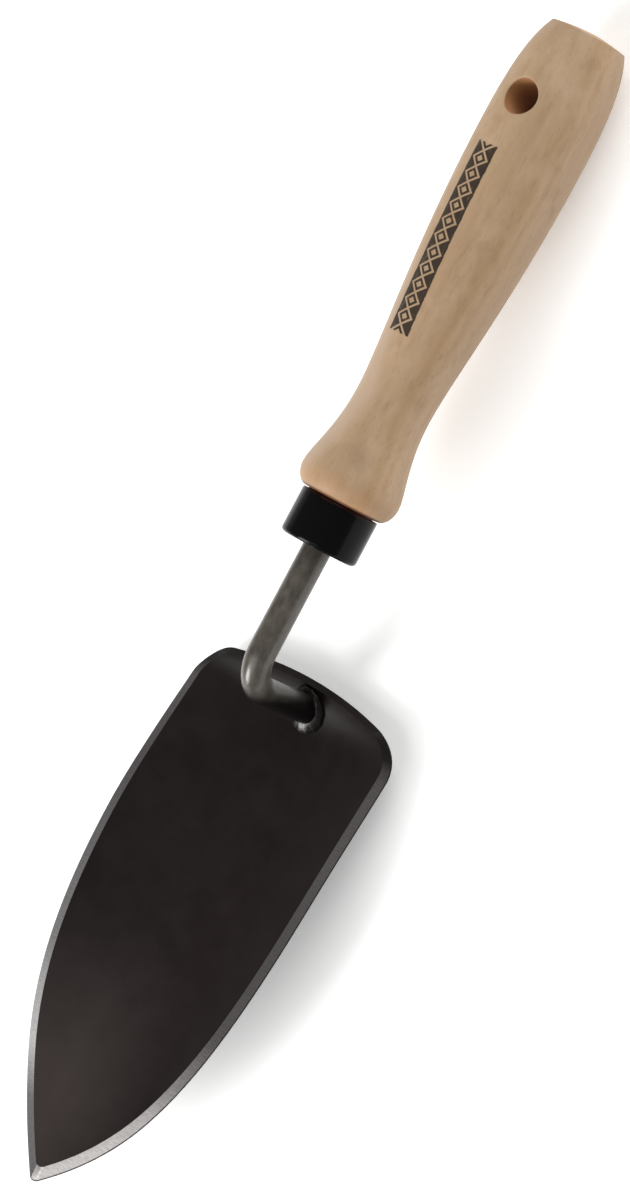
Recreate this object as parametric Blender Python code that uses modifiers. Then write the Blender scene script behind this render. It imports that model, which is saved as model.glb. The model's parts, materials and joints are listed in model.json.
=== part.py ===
"""A transplanting trowel, modelled as the pieces that it comes apart into on a bench.

The handle's axis is the tool's own Y axis: the butt is at +Y, the blade at -Y, the hollow of the blade
faces +Z, and the middle of the ferrule is the origin. Every piece is built there. At the end the whole tool
is laid down as it lies on a table: on its heel and the underside of its handle, with the table at Z = 0.
"""

import math

import bmesh
import bpy
import numpy as np
from mathutils import Vector

# Driving sizes, in metres and degrees.

FIT_GAP = 0.0003  # left between any two pieces that touch

# Handle, turned from ash. Lengths run along its axis.
HANDLE_LENGTH = 0.1393  # front shoulder to the top of the domed butt
SHOULDER_DIAMETER = 0.0212  # flat of the front shoulder, under the rounding
FLARE_DIAMETER = 0.0285
FLARE_FROM_SHOULDER = 0.0055
WAIST_DIAMETER = 0.0212
WAIST_FROM_SHOULDER = 0.029
PALM_DIAMETER = 0.0301
PALM_FROM_BUTT = 0.0323
BUTT_DIAMETER = 0.0214
BUTT_TAPER = 26.0  # slope of the side where it meets the butt, in degrees
BUTT_DOME = 0.0011
BUTT_FLAT_DIAMETER = 0.007
HOLE_DIAMETER = 0.010
HOLE_FROM_BUTT = 0.0236
HOLE_TURN = -5.0  # the drill leans this far off the middle plane, in degrees
HOLE_EASING = 0.0007  # how far the rim of the hole is opened out
TENON_LENGTH = 0.0112

# How full the turned curves are: shares of a curve's own width and length, at its first and second end.
DOME_WIDTH_PULLS = (0.5, 0.7)
DOME_DROP_PULLS = (0.1, 0.45)
TAPER_PULLS = (0.2, 0.53)
PALM_PULLS = (0.51, 0.18)
FLARE_PULLS = (0.51, 0.17)
SHOULDER_PULL = 0.55

# Ferrule, a cup drawn from steel, with a hole for the rod in its front.
FERRULE_DIAMETER = 0.0220
FERRULE_LENGTH = 0.0132
FERRULE_WALL = 0.0012
FERRULE_ROUNDING = 0.0012

# Shank, one length of round steel rod.
ROD_DIAMETER = 0.008
TANG_LENGTH = 0.062  # inside the handle, from its tenon's end
TANG_POINT_LENGTH = 0.010
TANG_POINT_DIAMETER = 0.0045
NECK_LENGTH = 0.0409  # ferrule's front to the middle of the drop
BEND_RADIUS = 0.010  # of the rod's centre line

# Blade, pressed from one sheet. In its own frame its underside's flat is at Z = 0, its rear edge at Y = 0.
SHEET_THICKNESS = 0.0020
BLADE_LENGTH = 0.1538
BLADE_WIDTH = 0.0713
WIDEST_FROM_REAR = 0.042
REAR_NARROWING = 0.0006  # how much narrower each side is at the rear than at the widest place
FRONT_EARLY_SHARE = 0.44  # share of the front's narrowing that comes early, as in a parabola
FRONT_LATE_POWER = 4.3  # how late the rest of it comes
CORNER_RADIUS = 0.0092
REAR_EDGE_RADIUS = 0.112
TIP_RADIUS = 0.0023
SECTION_RADIUS = 0.0635  # of the outside, across the blade
REAR_SECTION_RADIUS = 0.085
SECTION_BLEND = 0.055  # length over which the flatter rear section becomes the front one
HEEL_RADIUS = 0.0165  # outside radius of the rear wall's upward curl
HEEL_RISE = 0.0095  # rear edge over the flat of the underside
TIP_CURL_LENGTH = 0.030
TIP_LIFT = 0.0037
LAND = 0.00035  # what grinding leaves of the sheet's own edge
GRIND_SIDE = 0.0028  # width of the ground band at the sides, seen from above
GRIND_TIP = 0.0048  # the same along the middle of the tip
BLADE_PITCH = 4.6  # blade's underside against the handle's axis, in degrees
HEEL_DROP = 0.0388  # handle's axis to the underside at the rear edge
FOOT_SETBACK = 0.0080  # rear edge of the blade to the middle of the rod's foot
FOOT_MARGIN = 0.0012  # how far the cut under the foot reaches past the rod

# Weld round the rod's foot.
WELD_LEG_OUT = 0.0019  # along the blade
WELD_LEG_UP = 0.0024  # up the rod
WELD_SECTION = ((0, 0), (1, 0), (0.94, 0.25), (0.5, 0.68), (0, 1))  # shares of the two legs

# How finely curved surfaces are divided.
HANDLE_STEPS = 40
FERRULE_STEPS = 40
HOLE_STEPS = 32
ROD_STEPS = 24
BEND_STEPS = 12
DOME_STEPS = 5
TAPER_STEPS = 10
PALM_STEPS = 12
FLARE_STEPS = 8
ROUNDING_STEPS = 5
FOOT_STEPS = 16
WELD_STEPS = 36
BLADE_STATIONS = 44
BLADE_COLUMNS = 12
SHARP_ANGLE = 35.0
MERGE_DISTANCE = 0.00001
SEARCH_STEPS = 40  # of the two searches that close in on a number

# Sizes that follow from the ones above.

ROD_RADIUS = ROD_DIAMETER / 2
FERRULE_FRONT = -FERRULE_LENGTH / 2
SHOULDER = FERRULE_LENGTH / 2 + FIT_GAP
BUTT = SHOULDER + HANDLE_LENGTH
TENON_END = SHOULDER - TENON_LENGTH
TENON_RADIUS = FERRULE_DIAMETER / 2 - FERRULE_WALL - FIT_GAP
BORE_RADIUS = ROD_RADIUS + FIT_GAP
TANG_END = TENON_END + TANG_LENGTH
DROP_Y = FERRULE_FRONT - NECK_LENGTH
BLADE_PLACE = Vector((0, DROP_Y + FOOT_SETBACK, -HEEL_DROP))
HEEL_REACH = math.sqrt(HEEL_RADIUS**2 - (HEEL_RADIUS - HEEL_RISE) ** 2)


def clear_scene():
    for obj in list(bpy.data.objects):
        bpy.data.objects.remove(obj, do_unlink=True)


def new_collection(name):
    collection = bpy.data.collections.new(name)
    bpy.context.scene.collection.children.link(collection)
    return collection


def plain_material(name, color, roughness, metallic):
    material = bpy.data.materials.new(name)
    material.use_nodes = True
    shader = material.node_tree.nodes["Principled BSDF"]
    shader.inputs["Base Color"].default_value = (*color, 1)
    shader.inputs["Roughness"].default_value = roughness
    shader.inputs["Metallic"].default_value = metallic
    material.diffuse_color = (*color, 1)
    return material


def add_object(name, mesh, collection, material=None):
    obj = bpy.data.objects.new(name, mesh)
    collection.objects.link(obj)
    if material:
        mesh.materials.append(material)
        mesh.shade_smooth()
        mesh.set_sharp_from_angle(angle=math.radians(SHARP_ANGLE))
    return obj


def cut_away(obj, cutter):
    cutter.hide_render = True
    cutter.display_type = "WIRE"
    cut = obj.modifiers.new(cutter.name, "BOOLEAN")
    cut.operation = "DIFFERENCE"
    cut.object = cutter
    cut.solver = "EXACT"


def arc(center, radius, start, end, steps):
    """Points of a circle's arc, its angles in degrees."""
    angles = np.radians(np.linspace(start, end, steps + 1))
    return [(center[0] + radius * math.cos(a), center[1] + radius * math.sin(a)) for a in angles]


def sweep(start, start_pull, end_pull, end, steps):
    """Points of a Bezier curve, without its first one."""
    corners = [np.array(p) for p in (start, start_pull, end_pull, end)]
    points = []
    for t in np.linspace(0, 1, steps + 1)[1:]:
        shares = ((1 - t) ** 3, 3 * t * (1 - t) ** 2, 3 * t**2 * (1 - t), t**3)
        points.append(tuple(sum(share * corner for share, corner in zip(shares, corners))))
    return points


def turned(name, profile, steps, collection, material=None):
    """A solid of revolution along the Y axis, from (radius, height) points that run down its outside."""
    mesh = bpy.data.meshes.new(name)
    edges = [(i, i + 1) for i in range(len(profile) - 1)]
    mesh.from_pydata([(r, 0, z) for r, z in profile], edges, [])
    obj = add_object(name, mesh, collection, material)
    screw = obj.modifiers.new("turned", "SCREW")
    screw.axis = "Z"
    screw.steps = steps
    screw.render_steps = steps
    screw.use_merge_vertices = True
    screw.merge_threshold = MERGE_DISTANCE
    screw.use_smooth_shade = True
    obj.rotation_euler.x = -math.pi / 2
    return obj


def handle_outline():
    """(radius, place along the axis) from the butt's middle down the outside to the front shoulder."""
    palm = (PALM_DIAMETER / 2, BUTT - PALM_FROM_BUTT)
    waist = (WAIST_DIAMETER / 2, SHOULDER + WAIST_FROM_SHOULDER)
    flare = (FLARE_DIAMETER / 2, SHOULDER + FLARE_FROM_SHOULDER)
    shoulder = (SHOULDER_DIAMETER / 2, SHOULDER)
    rim = (BUTT_DIAMETER / 2, BUTT - BUTT_DOME)
    points = [(0, BUTT), (BUTT_FLAT_DIAMETER / 2, BUTT)]

    dome_pulls = [(rim[0] * w, BUTT - BUTT_DOME * d) for w, d in zip(DOME_WIDTH_PULLS, DOME_DROP_PULLS)]
    points += sweep(points[-1], *dome_pulls, rim, DOME_STEPS)

    length = rim[1] - palm[1]
    rim_pull = TAPER_PULLS[0] * length
    taper_pull = (rim[0] + rim_pull * math.tan(math.radians(BUTT_TAPER)), rim[1] - rim_pull)
    points += sweep(rim, taper_pull, (palm[0], palm[1] + TAPER_PULLS[1] * length), palm, TAPER_STEPS)

    length = palm[1] - waist[1]
    palm_pull = (palm[0], palm[1] - PALM_PULLS[0] * length)
    points += sweep(palm, palm_pull, (waist[0], waist[1] + PALM_PULLS[1] * length), waist, PALM_STEPS)

    length = waist[1] - flare[1]
    waist_pull = (waist[0], waist[1] - FLARE_PULLS[0] * length)
    points += sweep(waist, waist_pull, (flare[0], flare[1] + FLARE_PULLS[1] * length), flare, FLARE_STEPS)

    flare_pull = (flare[0], flare[1] - SHOULDER_PULL * FLARE_FROM_SHOULDER)
    shoulder_pull = (shoulder[0] + SHOULDER_PULL * (flare[0] - shoulder[0]), shoulder[1])
    points += sweep(flare, flare_pull, shoulder_pull, shoulder, ROUNDING_STEPS)
    return points


def make_handle():
    ash = plain_material("ash_wood", (0.42, 0.28, 0.17), 0.55, 0.0)
    bore_end = TANG_END + FIT_GAP
    profile = handle_outline()
    profile += [(TENON_RADIUS, SHOULDER), (TENON_RADIUS, TENON_END), (BORE_RADIUS, TENON_END)]
    profile += [(BORE_RADIUS, bore_end), (0, bore_end)]
    handle = turned("handle", profile, HANDLE_STEPS, pieces, ash)
    cut_away(handle, make_hole_cutter())
    return handle


def make_hole_cutter():
    """The hanging hole's drill, opened out where it leaves the wood on both sides."""
    radius = HOLE_DIAMETER / 2
    wood = max(r for r, _ in handle_outline())
    deep = wood - 2 * HOLE_EASING
    outside = wood + HOLE_EASING
    eased = [(radius + HOLE_EASING, wood), (radius + HOLE_EASING / 3, wood - HOLE_EASING), (radius, deep)]
    upper = [(0, outside), (radius + 2 * HOLE_EASING, outside)] + eased
    profile = upper + [(r, -z) for r, z in reversed(upper)]
    cutter = turned("hanging_hole_cutter", profile, HOLE_STEPS, cutters)
    cutter.rotation_euler = (0, math.radians(HOLE_TURN), 0)
    cutter.location.y = BUTT - HOLE_FROM_BUTT
    return cutter


def make_ferrule():
    gloss = plain_material("black_gloss_enamel", (0.008, 0.008, 0.009), 0.2, 0.0)
    outside = FERRULE_DIAMETER / 2
    inside = outside - FERRULE_WALL
    rear = FERRULE_LENGTH / 2
    floor = FERRULE_FRONT + FERRULE_WALL
    round_center = (outside - FERRULE_ROUNDING, FERRULE_FRONT + FERRULE_ROUNDING)
    profile = [(inside, floor), (inside, rear), (outside, rear)]
    profile += arc(round_center, FERRULE_ROUNDING, 0, -90, ROUNDING_STEPS)
    profile += [(BORE_RADIUS, FERRULE_FRONT), (BORE_RADIUS, floor), (inside, floor)]
    return turned("ferrule", profile, FERRULE_STEPS, pieces, gloss)


def make_rod_curve():
    """The rod's centre line: the tang, the neck, the bend and the drop, which ends in the blade."""
    bend_center = (DROP_Y + BEND_RADIUS, -BEND_RADIUS)
    line = [(TANG_END, 0), (TANG_END - TANG_POINT_LENGTH, 0)]
    line += arc(bend_center, BEND_RADIUS, 90, 180, BEND_STEPS)
    line.append((DROP_Y, -HEEL_DROP))

    data = bpy.data.curves.new("rod_line", "CURVE")
    data.dimensions = "3D"
    data.bevel_depth = ROD_RADIUS
    data.bevel_resolution = ROD_STEPS // 2 - 2
    data.use_fill_caps = True
    spline = data.splines.new("POLY")
    spline.points.add(len(line) - 1)
    for point, (y, z) in zip(spline.points, line):
        point.co = (0, y, z, 1)
    spline.points[0].radius = TANG_POINT_DIAMETER / ROD_DIAMETER
    curve = bpy.data.objects.new("rod_line", data)
    pieces.objects.link(curve)
    return curve


def make_shank():
    steel = plain_material("lacquered_rod_steel", (0.055, 0.050, 0.043), 0.4, 0.6)
    curve = make_rod_curve()
    evaluated = curve.evaluated_get(bpy.context.evaluated_depsgraph_get())
    mesh = bpy.data.meshes.new_from_object(evaluated)
    bpy.data.objects.remove(curve)
    tidy = bmesh.new()
    tidy.from_mesh(mesh)
    bmesh.ops.remove_doubles(tidy, verts=tidy.verts, dist=MERGE_DISTANCE)
    bmesh.ops.recalc_face_normals(tidy, faces=tidy.faces)
    tidy.to_mesh(mesh)
    tidy.free()
    mesh.name = "shank"
    mesh.materials.clear()
    shank = add_object("shank", mesh, pieces, steel)
    cut_away(shank, make_foot_cutter())
    return shank


def make_foot_cutter():
    """The inside of the heel, raised by the gap and thick enough to take off all of the rod below."""
    half = ROD_RADIUS + FOOT_MARGIN
    bpy.ops.mesh.primitive_grid_add(x_subdivisions=FOOT_STEPS, y_subdivisions=FOOT_STEPS, size=2 * half)
    cutter = bpy.context.object
    for collection in list(cutter.users_collection):
        collection.objects.unlink(cutter)
    cutters.objects.link(cutter)
    cutter.name = "foot_cutter"
    for vertex in cutter.data.vertices:
        vertex.co = blade_point(vertex.co.x, FOOT_SETBACK - vertex.co.y, SHEET_THICKNESS + FIT_GAP)
    body = cutter.modifiers.new("body", "SOLIDIFY")
    body.thickness = 2 * HEEL_RISE
    body.offset = -1
    place_on_blade(cutter)
    return cutter


def sheet_height(x, from_rear, depth):
    """Height over the flat underside at a depth into the sheet, measured from its outside."""
    rear_share = max(0.0, 1 - from_rear / SECTION_BLEND) ** 2
    section = SECTION_RADIUS + (REAR_SECTION_RADIUS - SECTION_RADIUS) * rear_share
    trough = section - depth - math.sqrt((section - depth) ** 2 - x**2)
    reach = max(0.0, HEEL_REACH - from_rear)
    curl = HEEL_RADIUS - depth - math.sqrt(max(0.0, (HEEL_RADIUS - depth) ** 2 - reach**2))
    past = max(0.0, 1 - (BLADE_LENGTH - from_rear) / TIP_CURL_LENGTH)
    return depth + math.hypot(trough, curl) + TIP_LIFT * past**2


def blade_point(x, from_rear, depth):
    """A point of the sheet. Lines across it are bowed like the rear edge, and less so towards the tip."""
    bow = x**2 / (2 * REAR_EDGE_RADIUS) * (1 - from_rear / BLADE_LENGTH)
    return Vector((x, -(from_rear + bow), sheet_height(x, from_rear, depth)))


def half_width(from_rear, rear, side_inset, tip_inset):
    """Half the width of the outline, taken in from the sides, from the tip and to begin at rear."""
    widest = BLADE_WIDTH / 2 - side_inset
    corner = CORNER_RADIUS - side_inset / 2
    tip = BLADE_LENGTH - tip_inset
    if from_rear >= tip:
        return 0.0
    if from_rear < WIDEST_FROM_REAR:
        side = widest - REAR_NARROWING * (1 - from_rear / WIDEST_FROM_REAR) ** 2
        if from_rear - rear < corner:
            side += math.sqrt(corner**2 - (corner - (from_rear - rear)) ** 2) - corner
        return side
    late_share = 1 - FRONT_EARLY_SHARE
    steepness = widest * (2 * FRONT_EARLY_SHARE + FRONT_LATE_POWER * late_share)
    slope = math.atan2(steepness, tip - WIDEST_FROM_REAR)
    point = tip + TIP_RADIUS * (1 / math.sin(slope) - 1)
    along = (from_rear - WIDEST_FROM_REAR) / (point - WIDEST_FROM_REAR)
    if point - from_rear < TIP_RADIUS * (1 / math.sin(slope) - math.sin(slope)):
        return math.sqrt(max(0.0, TIP_RADIUS**2 - (from_rear - (tip - TIP_RADIUS)) ** 2))
    return widest * (1 - FRONT_EARLY_SHARE * along**2 - late_share * along**FRONT_LATE_POWER)


def blade_layer(sheet, depth, rear, side_inset, tip_inset):
    """Rows of vertices over half of the sheet at one depth, each from the middle line to the edge."""
    tip = BLADE_LENGTH - tip_inset
    rows = []
    for i in range(BLADE_STATIONS):
        share = (1 - math.cos(math.pi * i / BLADE_STATIONS)) / 2
        from_rear = rear + (tip - rear) * share
        edge = half_width(from_rear, rear, side_inset, tip_inset)
        xs = np.linspace(0, edge, BLADE_COLUMNS + 1)
        rows.append([sheet.verts.new(blade_point(x, from_rear, depth)) for x in xs])
    rows.append([sheet.verts.new(blade_point(0, tip, depth))])
    return rows


def border(rows):
    """The vertices round the edge of a layer, from the middle of the rear to the tip."""
    return rows[0] + [row[-1] for row in rows[1:]]


def skin(sheet, rows, facing_up):
    """Faces over one layer."""
    faces = []
    for near, far in zip(rows, rows[1:]):
        for j in range(BLADE_COLUMNS):
            if len(far) > 1:
                faces.append((near[j], near[j + 1], far[j + 1], far[j]))
            else:
                faces.append((near[j], near[j + 1], far[0]))
    for face in faces:
        sheet.faces.new(face[::-1] if facing_up else face)


def make_blade():
    """Half of the pressed sheet, mirrored. It is a loft, because only the inside of the edge is ground."""
    lacquer = plain_material("dark_lacquered_sheet_steel", (0.016, 0.014, 0.013), 0.42, 0.2)
    square_rim = HEEL_REACH * SHEET_THICKNESS / HEEL_RADIUS
    lean = BLADE_WIDTH / 2 / SECTION_RADIUS
    sheet = bmesh.new()
    outside = blade_layer(sheet, 0, 0, 0, 0)
    land_share = LAND / SHEET_THICKNESS
    land = blade_layer(sheet, LAND, square_rim * land_share, LAND * lean, LAND)
    inside = blade_layer(sheet, SHEET_THICKNESS, square_rim, GRIND_SIDE, GRIND_TIP)
    skin(sheet, outside, facing_up=False)
    skin(sheet, inside, facing_up=True)
    for lower, upper in ((outside, land), (land, inside)):
        low, high = border(lower), border(upper)
        for k in range(len(low) - 1):
            sheet.faces.new((low[k], high[k], high[k + 1], low[k + 1]))
    loose = [v for v in sheet.verts if not v.link_faces]
    bmesh.ops.delete(sheet, geom=loose, context="VERTS")
    mesh = bpy.data.meshes.new("blade")
    sheet.to_mesh(mesh)
    sheet.free()
    blade = add_object("blade", mesh, pieces, lacquer)
    mirror = blade.modifiers.new("other_half", "MIRROR")
    mirror.merge_threshold = MERGE_DISTANCE
    place_on_blade(blade)
    return blade


def place_on_blade(obj):
    obj.location = BLADE_PLACE
    obj.rotation_euler.x = -math.radians(BLADE_PITCH)


def height_over_blade(x, y):
    """Height, in the tool's frame, of the gap's upper side over the blade's inside near the rod's foot."""
    pitch = math.radians(BLADE_PITCH)
    from_rear = FOOT_SETBACK
    for _ in range(SEARCH_STEPS):
        point = blade_point(x, from_rear, SHEET_THICKNESS + FIT_GAP)
        reached = BLADE_PLACE.y + point.y * math.cos(pitch) + point.z * math.sin(pitch)
        from_rear += reached - y
    return BLADE_PLACE.z - point.y * math.sin(pitch) + point.z * math.cos(pitch)


def make_weld():
    """A fillet lofted round the rod's foot, with a slightly full section at each angle."""
    bead_steel = plain_material("weld_steel", (0.060, 0.055, 0.050), 0.35, 0.7)
    bead = bmesh.new()
    rings = []
    for angle in np.linspace(0, 2 * math.pi, WELD_STEPS, endpoint=False):
        ring = []
        for out_share, up_share in WELD_SECTION:
            radius = BORE_RADIUS + out_share * (WELD_LEG_OUT - FIT_GAP)
            x = radius * math.cos(angle)
            y = DROP_Y + radius * math.sin(angle)
            ring.append(bead.verts.new((x, y, height_over_blade(x, y) + up_share * WELD_LEG_UP)))
        rings.append(ring)
    count = len(WELD_SECTION)
    for ring, following in zip(rings, rings[1:] + rings[:1]):
        for k in range(count):
            after = (k + 1) % count
            bead.faces.new((ring[k], following[k], following[after], ring[after]))
    bmesh.ops.recalc_face_normals(bead, faces=bead.faces)
    mesh = bpy.data.meshes.new("weld_bead")
    bead.to_mesh(mesh)
    bead.free()
    return add_object("weld_bead", mesh, pieces, bead_steel)


def points_of(obj):
    """Every point of a finished piece, in the frame that it stands in."""
    evaluated = obj.evaluated_get(bpy.context.evaluated_depsgraph_get())
    mesh = evaluated.to_mesh()
    points = np.array([evaluated.matrix_world @ vertex.co for vertex in mesh.vertices])
    evaluated.to_mesh_clear()
    return points


def clearance(points, slope):
    """How far a line of this slope through the origin can be raised before it meets the points above it."""
    return (points[:, 2] - slope * points[:, 1]).min()


def lay_on_table(tool, blade, handle):
    """Turns the tool down on to the line that touches heel and handle, and puts that line at Z = 0."""
    heel_points = points_of(blade)
    handle_points = points_of(handle)
    low, high = 0.0, 1.0
    for _ in range(SEARCH_STEPS):
        slope = (low + high) / 2
        if clearance(handle_points, slope) > clearance(heel_points, slope):
            low = slope
        else:
            high = slope
    pitch = math.atan(slope)
    everything = np.vstack([heel_points, handle_points])
    along = everything[:, 1] * math.cos(pitch) + everything[:, 2] * math.sin(pitch)
    tool.rotation_euler.x = -pitch
    tool.location = (0, -(along.min() + along.max()) / 2, -clearance(heel_points, slope) * math.cos(pitch))


clear_scene()
pieces = new_collection("transplanting_trowel")
cutters = new_collection("cutters")

tool_frame = bpy.data.objects.new("tool_frame", None)
pieces.objects.link(tool_frame)

handle_piece = make_handle()
blade_piece = make_blade()
for piece in (blade_piece, make_shank(), make_weld(), make_ferrule(), handle_piece, *cutters.objects):
    piece.parent = tool_frame
bpy.context.view_layer.update()
lay_on_table(tool_frame, blade_piece, handle_piece)
bpy.context.view_layer.update()
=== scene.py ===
# %% [markdown]
# # A transplanting trowel, dressed for its photograph
#
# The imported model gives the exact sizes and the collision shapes. This notebook builds the pieces that are
# seen: a dished steel blade, the rod that carries it, the weld between them, a ferrule and a turned ash
# handle. Each piece is modelled along the handle's own axis, where its sizes are easy to read, and then
# laid in its place.

import json
import math

import bmesh
import bpy
import numpy as np
from mathutils import Matrix, Vector


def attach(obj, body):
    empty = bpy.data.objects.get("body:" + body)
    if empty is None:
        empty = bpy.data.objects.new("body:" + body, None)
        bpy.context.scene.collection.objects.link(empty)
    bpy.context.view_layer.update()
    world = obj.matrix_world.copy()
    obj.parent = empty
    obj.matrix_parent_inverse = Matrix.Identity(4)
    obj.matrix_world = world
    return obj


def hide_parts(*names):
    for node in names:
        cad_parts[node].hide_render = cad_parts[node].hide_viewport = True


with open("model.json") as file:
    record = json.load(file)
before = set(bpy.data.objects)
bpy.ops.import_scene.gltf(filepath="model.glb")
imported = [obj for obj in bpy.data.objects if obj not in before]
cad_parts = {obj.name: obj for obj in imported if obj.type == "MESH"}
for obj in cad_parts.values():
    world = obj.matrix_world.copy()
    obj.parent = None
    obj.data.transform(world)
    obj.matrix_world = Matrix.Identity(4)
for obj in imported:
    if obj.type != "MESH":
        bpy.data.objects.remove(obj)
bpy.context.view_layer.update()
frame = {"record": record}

# %% [markdown]
# ## Where the tool lies
#
# The tool rests on the heel of its blade and the underside of its handle, so the handle is tipped by a few
# degrees. The record gives the flat at the butt end and the direction that it faces. That direction is the
# handle's axis, so it fixes the whole tool: in the tool's own frame the axis is Y, the butt is at +Y, the
# hollow of the blade faces +Z, and the middle of the ferrule is the origin.

# %% The tool's own frame
MM = 0.001
FERRULE_LENGTH = 13.2 * MM
FIT_GAP = 0.3 * MM
HANDLE_LENGTH = 139.3 * MM
SHOULDER = FERRULE_LENGTH / 2 + FIT_GAP
BUTT = SHOULDER + HANDLE_LENGTH

butt_mount = frame["record"]["mounts"][0]
butt_direction = Vector(butt_mount["axis"])
tool_tilt = math.atan2(butt_direction.z, butt_direction.y)
tool_origin = Vector(butt_mount["pos_m"]) - butt_direction * BUTT
tool_turn = Matrix.Rotation(tool_tilt, 4, "X")
tool_place = Matrix.Translation(tool_origin) @ tool_turn
print("handle tipped by", round(math.degrees(tool_tilt), 2), "degrees, ferrule at", tool_origin)

# %% [markdown]
# ## The camera
#
# The photograph looks down on the tool from its right, so the hollow of the blade and the top of the handle
# both show. The tool's axis leans 28 degrees from the upright of the picture. The camera is placed in the
# tool's frame: a direction to look from, a distance, and the point of the tool that falls in the middle of
# the picture.

# %% Put up the camera
PICTURE_HEIGHT = 1200
SENSOR = 36.0
PIXELS_PER_MM = 3.8
CAMERA_DISTANCE = 1400 * MM
VIEW_FROM_RIGHT = math.radians(32)
VIEW_FROM_BUTT = math.radians(2)
LEAN_IN_PICTURE = math.radians(28)
MIDDLE_RIGHT_OF_AXIS = 22.3 / PIXELS_PER_MM * MM
MIDDLE_BEFORE_FERRULE = 71.5 / PIXELS_PER_MM * MM

towards_camera = Vector(
    (
        math.sin(VIEW_FROM_RIGHT) * math.cos(VIEW_FROM_BUTT),
        math.sin(VIEW_FROM_BUTT),
        math.cos(VIEW_FROM_RIGHT) * math.cos(VIEW_FROM_BUTT),
    )
)
across = Vector((math.cos(VIEW_FROM_RIGHT), 0, -math.sin(VIEW_FROM_RIGHT)))
along = towards_camera.cross(across)
middle = across * MIDDLE_RIGHT_OF_AXIS - along * MIDDLE_BEFORE_FERRULE
picture_right = across * math.cos(LEAN_IN_PICTURE) + along * math.sin(LEAN_IN_PICTURE)
picture_up = along * math.cos(LEAN_IN_PICTURE) - across * math.sin(LEAN_IN_PICTURE)

camera_data = bpy.data.cameras.new("photo_camera")
camera_data.sensor_width = SENSOR
camera_data.lens = PIXELS_PER_MM / MM * CAMERA_DISTANCE * SENSOR / PICTURE_HEIGHT
camera = bpy.data.objects.new("photo_camera", camera_data)
bpy.context.scene.collection.objects.link(camera)
bpy.context.scene.camera = camera
axes = Matrix((picture_right, picture_up, towards_camera)).transposed().to_4x4()
camera.matrix_world = tool_place @ Matrix.Translation(middle + towards_camera * CAMERA_DISTANCE) @ axes
print("lens", round(camera_data.lens, 1), "mm")

# %% [markdown]
# ## Two helpers for materials
#
# Colours are written as sRGB hex, as a paint chart gives them, and turned to the linear values that a
# shader needs. Nodes are added by one function that takes the node's kind, its settings, and what goes into
# its sockets. Where that is another node, the first of its outputs that is in use is linked to the socket.

# %% Colour and node helpers
MIX_A, MIX_B, MIX_RESULT = 6, 7, 2  # the Mix node's colour sockets


def linear(hex_color):
    """An sRGB hex colour as linear red, green, blue and alpha."""
    parts = [int(hex_color[i : i + 2], 16) / 255 for i in (1, 3, 5)]
    return [*(p / 12.92 if p <= 0.04045 else ((p + 0.055) / 1.055) ** 2.4 for p in parts), 1.0]


def add_node(material, kind, settings=None, inputs=None):
    """Adds a node, sets its properties and fills its sockets. A node given to a socket is linked to it."""
    node = material.node_tree.nodes.new("ShaderNode" + kind)
    for name, value in (settings or {}).items():
        setattr(node, name, value)
    for socket, value in (inputs or {}).items():
        if isinstance(value, bpy.types.Node):
            value = next(output for output in value.outputs if output.enabled)  # the first one in use
        if isinstance(value, bpy.types.NodeSocket):
            material.node_tree.links.new(value, node.inputs[socket])
        else:
            node.inputs[socket].default_value = value
    return node


def new_material(name):
    """A material with its Principled shader, and coordinates in millimetres along the tool's own axes."""
    material = bpy.data.materials.new(name)
    material.use_nodes = True
    shader = material.node_tree.nodes["Principled BSDF"]
    place = add_node(material, "TexCoord")
    settled = add_node(
        material,
        "Mapping",
        {"vector_type": "TEXTURE"},
        {
            "Vector": place.outputs["Object"],
            "Location": tool_origin,
            "Rotation": (tool_tilt, 0, 0),
            "Scale": (MM, MM, MM),
        },
    )
    return material, shader, settled.outputs["Vector"]


# %% [markdown]
# ## The blade's steel
#
# The blade is mild steel sheet under a dark brown-black lacquer. The lacquer is slightly uneven and holds
# dust, so it gives a wide, weak shine and a faint speckle. Towards the tip and on the left its colour is
# lightened by a painted sheen. The sides and the tip were ground on the inside before the lacquer went on,
# and use has rubbed that narrow band bare again, most of all at the tip. It shows the scratches of the
# grinding belt running across it, and its colour holds painted highlights as well.

# %% Dark lacquer on sheet steel
blade_lacquer, shader, place_mm = new_material("dark_lacquer_on_sheet_steel")
SPECKLE_MM = 0.5  # lacquer grain, drawn coarser than the real 0.2 mm so that it shows
MOTTLE_MM = 7.0
SHEEN_FROM_Y = -120.0  # a painted sheen lightens the lacquer from here to the tip
SHEEN_TO_Y = -170.0
SHEEN_GONE_X = 20.0  # and less and less from the left side to here
speckle = add_node(
    blade_lacquer,
    "TexNoise",
    None,
    {"Vector": place_mm, "Scale": 1 / SPECKLE_MM, "Detail": 2.0, "Roughness": 0.6},
)
mottle = add_node(
    blade_lacquer,
    "TexNoise",
    None,
    {"Vector": place_mm, "Scale": 1 / MOTTLE_MM, "Detail": 5.0, "Roughness": 0.6},
)
lacquer_axes = add_node(blade_lacquer, "SeparateXYZ", None, {"Vector": place_mm})
towards_tip = add_node(
    blade_lacquer,
    "MapRange",
    None,
    {"Value": lacquer_axes.outputs["Y"], "From Min": SHEEN_FROM_Y, "From Max": SHEEN_TO_Y, "To Max": 0.9},
)
towards_left = add_node(
    blade_lacquer,
    "MapRange",
    None,
    {"Value": lacquer_axes.outputs["X"], "From Min": SHEEN_GONE_X, "From Max": -8.0},
)
# painted sheen: the lacquer is lightened towards the tip and the left, standing in for a reflection
painted_sheen = add_node(
    blade_lacquer, "Math", {"operation": "MULTIPLY"}, {0: towards_tip, 1: towards_left}
)
patchy = add_node(
    blade_lacquer,
    "MapRange",
    None,
    {"Value": mottle, "From Min": 0.3, "From Max": 0.7, "To Min": 0.1, "To Max": 0.2},
)
tone = add_node(blade_lacquer, "Math", {"operation": "ADD"}, {0: painted_sheen, 1: patchy})
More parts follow.
